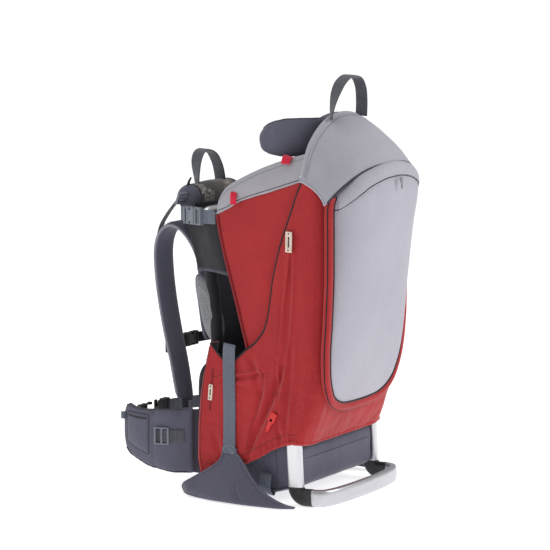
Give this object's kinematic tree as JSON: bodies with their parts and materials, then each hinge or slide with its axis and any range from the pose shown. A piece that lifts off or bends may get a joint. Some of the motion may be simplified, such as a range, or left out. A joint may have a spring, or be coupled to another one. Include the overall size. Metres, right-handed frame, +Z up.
{
  "type": "child carrier backpack",
  "caption": "Framed backpack for carrying a child, with padded harness, hip belt, cockpit, foot stirrups, rear storage pod and a fold-out kickstand.",
  "frame": {"origin": "on the ground, on the pack's middle plane, under the middle of its overall depth", "axes": "+Z up, +Y the way the wearer faces (shoulder straps side), -Y the rear storage pod, +X the wearer's right"},
  "size_m": [0.3819, 0.5772, 0.784],
  "materials": {
    "aluminium": "satin",
    "black_plastic": "matte",
    "charcoal_fabric": "plain weave",
    "dark_webbing": "webbing",
    "grey_fabric": "plain weave",
    "grey_plastic": "matte",
    "mesh_fabric": "spacer mesh",
    "pattern_fabric": "printed fleece",
    "pink_webbing": "webbing",
    "red_fabric": "ripstop weave",
    "red_plastic": "gloss",
    "rubber": "matte",
    "steel": "brushed",
    "webbing": "webbing"
  },
  "bodies": {
    "pack": {"main_frame_tube": "aluminium", "base_front_bar": "aluminium", "base_corners": "black_plastic", "front_feet": "rubber", "strut_clamps": "black_plastic", "seat_struts": "aluminium", "pivot_bracket_left": "black_plastic", "pivot_bracket_right": "black_plastic", "pins_and_rivets": "steel", "shell_hoop": "aluminium", "back_board": "black_plastic", "back_pad_left": "mesh_fabric", "back_pad_right": "mesh_fabric", "lumbar_pad": "mesh_fabric", "base_compartment": "charcoal_fabric", "shell_body": "red_fabric", "hood_cap": "grey_fabric", "mini_pack": "grey_fabric", "wing_left": "red_fabric", "wing_right": "red_fabric", "cockpit_rims": "grey_fabric", "drool_pad": "pattern_fabric", "seat_back_pad": "charcoal_fabric", "side_straps": "webbing", "side_buckle_female_left": "grey_plastic", "side_buckle_female_right": "grey_plastic", "zipper_tapes": "red_fabric", "webbing_tabs": "pink_webbing"},
    "kickstand": {"kickstand_leg_left": "aluminium", "kickstand_leg_right": "aluminium", "kickstand_elbows": "black_plastic", "kickstand_bow": "aluminium"},
    "harness": {"harness_yoke": "charcoal_fabric", "shoulder_strap_left": "charcoal_fabric", "shoulder_strap_right": "charcoal_fabric", "harness_webbing": "dark_webbing", "ladder_locks": "grey_plastic"},
    "sternum": {"sternum_webbing": "dark_webbing", "sternum_buckle_female": "black_plastic"},
    "sternum_clip": {"sternum_buckle_male": "black_plastic"},
    "hip_left": {"hip_wing_left": "charcoal_fabric", "hip_webbing_left": "dark_webbing", "hip_buckle_male": "black_plastic"},
    "hip_right": {"hip_wing_right": "charcoal_fabric", "hip_webbing_right": "dark_webbing", "hip_buckle_female": "black_plastic"},
    "foot_left": {"stirrup_left": "charcoal_fabric"},
    "foot_right": {"stirrup_right": "charcoal_fabric"},
    "handle_front": {"front_handle": "dark_webbing"},
    "handle_rear": {"rear_handle": "dark_webbing"},
    "zip_left": {"side_zip_slider_left": "red_plastic"},
    "zip_right": {"side_zip_slider_right": "red_plastic"},
    "zip_pack": {"pack_zip_slider": "steel"},
    "head_support": {"headrest": "charcoal_fabric"},
    "seat": {"seat_cushion": "charcoal_fabric", "child_harness": "charcoal_fabric", "harness_buckle": "black_plastic"},
    "button": {"buckle_button": "red_plastic"},
    "side_clip_left": {"side_buckle_male_left": "grey_plastic"},
    "side_clip_right": {"side_buckle_male_right": "grey_plastic"}
  },
  "joints": [
    {"name": "kickstand_fold", "type": "hinge", "parent": "pack", "child": "kickstand", "pos_m": [0, -0.12, 0.235], "axis": [1, 0, 0], "range_deg": [0, 15]},
    {"name": "harness_height", "type": "slide", "parent": "pack", "child": "harness", "axis": [0, 0.2555, 0.9668], "range_m": [-0.004, 0.03]},
    {"name": "sternum_height", "type": "slide", "parent": "harness", "child": "sternum", "axis": [0, 0.2629, 0.9648], "range_m": [-0.015, 0.06]},
    {"name": "sternum_release", "type": "slide", "parent": "sternum", "child": "sternum_clip", "axis": [-1, 0, 0], "range_m": [0, 0.025]},
    {"name": "hip_wing_left_swing", "type": "hinge", "parent": "pack", "child": "hip_left", "pos_m": [-0.124, 0.104, 0], "axis": [0, 0, 1], "range_deg": [0, 35]},
    {"name": "hip_wing_right_swing", "type": "hinge", "parent": "pack", "child": "hip_right", "pos_m": [0.124, 0.104, 0], "axis": [0, 0, -1], "range_deg": [0, 35]},
    {"name": "stirrup_left_swing", "type": "hinge", "parent": "pack", "child": "foot_left", "pos_m": [-0.1516, 0.004, 0.286], "axis": [0, 1, 0], "range_deg": [0, 25]},
    {"name": "stirrup_right_swing", "type": "hinge", "parent": "pack", "child": "foot_right", "pos_m": [0.1516, 0.004, 0.286], "axis": [0, -1, 0], "range_deg": [0, 25]},
    {"name": "front_handle_fold", "type": "hinge", "parent": "pack", "child": "handle_front", "pos_m": [0, 0.15, 0.575], "axis": [1, 0, 0], "range_deg": [-60, 50]},
    {"name": "rear_handle_fold", "type": "hinge", "parent": "pack", "child": "handle_rear", "pos_m": [0, -0.155, 0.716], "axis": [1, 0, 0], "range_deg": [-60, 60]},
    {"name": "side_zip_left", "type": "slide", "parent": "pack", "child": "zip_left", "axis": [0, 0.1162, -0.9932], "range_m": [0, 0.295]},
    {"name": "side_zip_right", "type": "slide", "parent": "pack", "child": "zip_right", "axis": [0, 0.1162, -0.9932], "range_m": [0, 0.295]},
    {"name": "pack_zip", "type": "hinge", "parent": "pack", "child": "zip_pack", "pos_m": [0, -0.1627, 0.428], "axis": [0, 0.7553, 0.6554], "range_deg": [-24, 24]},
    {"name": "headrest_height", "type": "slide", "parent": "pack", "child": "head_support", "axis": [0, 0, 1], "range_m": [-0.025, 0.02]},
    {"name": "seat_height", "type": "slide", "parent": "pack", "child": "seat", "axis": [0, 0, 1], "range_m": [-0.01, 0.04]},
    {"name": "harness_button", "type": "slide", "parent": "seat", "child": "button", "axis": [0, -1, 0], "range_m": [0, 0.003]},
    {"name": "side_buckle_left_release", "type": "slide", "parent": "pack", "child": "side_clip_left", "axis": [-0.4199, -0.9076, 0], "range_m": [0, 0.02]},
    {"name": "side_buckle_right_release", "type": "slide", "parent": "pack", "child": "side_clip_right", "axis": [0.4199, -0.9076, 0], "range_m": [0, 0.02]}
  ]
}
